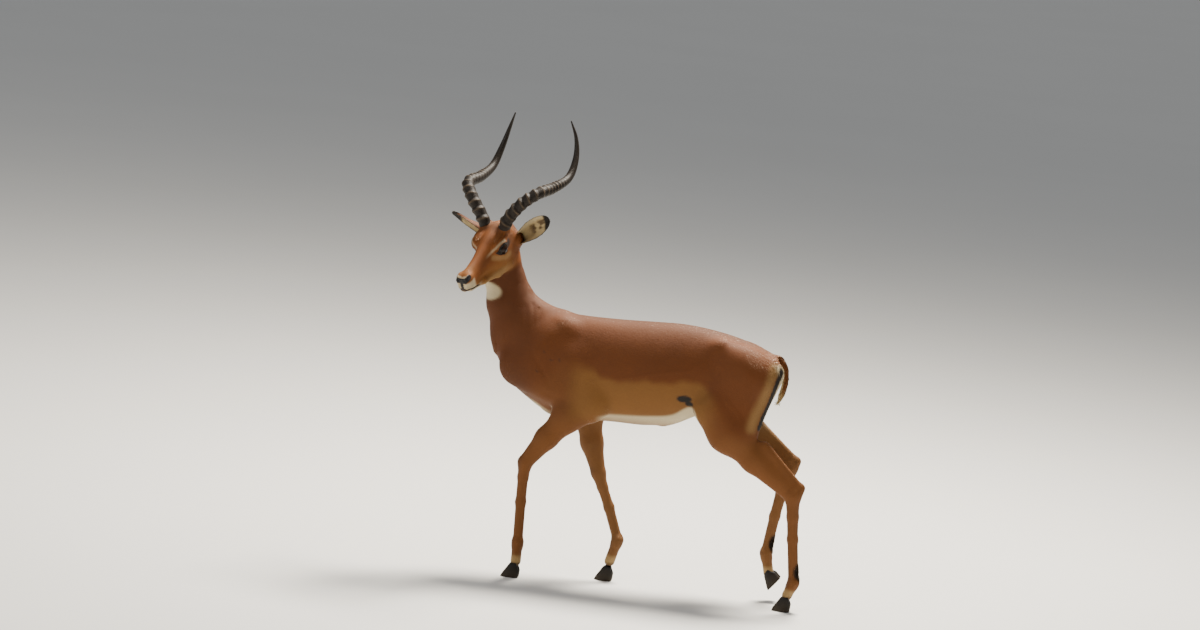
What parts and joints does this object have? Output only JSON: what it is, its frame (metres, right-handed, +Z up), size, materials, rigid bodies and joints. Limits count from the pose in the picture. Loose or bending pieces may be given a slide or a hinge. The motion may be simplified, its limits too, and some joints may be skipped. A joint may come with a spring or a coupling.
{
  "type": "impala ram display model",
  "caption": "Life-size still model of an impala ram, walking with its head turned to its left, ridged lyre-shaped horns, standing on its own hooves.",
  "frame": {"origin": "centre of the bounding box, on the floor that the hooves stand on", "axes": "+Z up to the horns; the ram walks towards -X; its left side is -Y"},
  "size_m": [1.2022, 0.432, 1.4252],
  "materials": {
    "hide": "short rufous hair over skin",
    "leg_hide": "short tan hair over skin",
    "eye": "wet, near black",
    "horn": "ridged dark keratin",
    "hoof": "dark keratin, lightly worn"
  },
  "bodies": {
    "root": {"head": "hide", "neck": "hide", "trunk": "hide", "tail": "hide", "ear_left": "hide", "ear_right": "hide", "eye_left": "eye", "eye_right": "eye", "horn_left": "horn", "horn_right": "horn", "foreleg_left": "leg_hide", "foreleg_right": "leg_hide", "hindleg_left": "leg_hide", "hindleg_right": "leg_hide", "hoof_fore_left_outer": "hoof", "hoof_fore_left_inner": "hoof", "hoof_fore_right_outer": "hoof", "hoof_fore_right_inner": "hoof", "hoof_hind_left_outer": "hoof", "hoof_hind_left_inner": "hoof", "hoof_hind_right_outer": "hoof", "hoof_hind_right_inner": "hoof"}
  },
  "joints": []
}
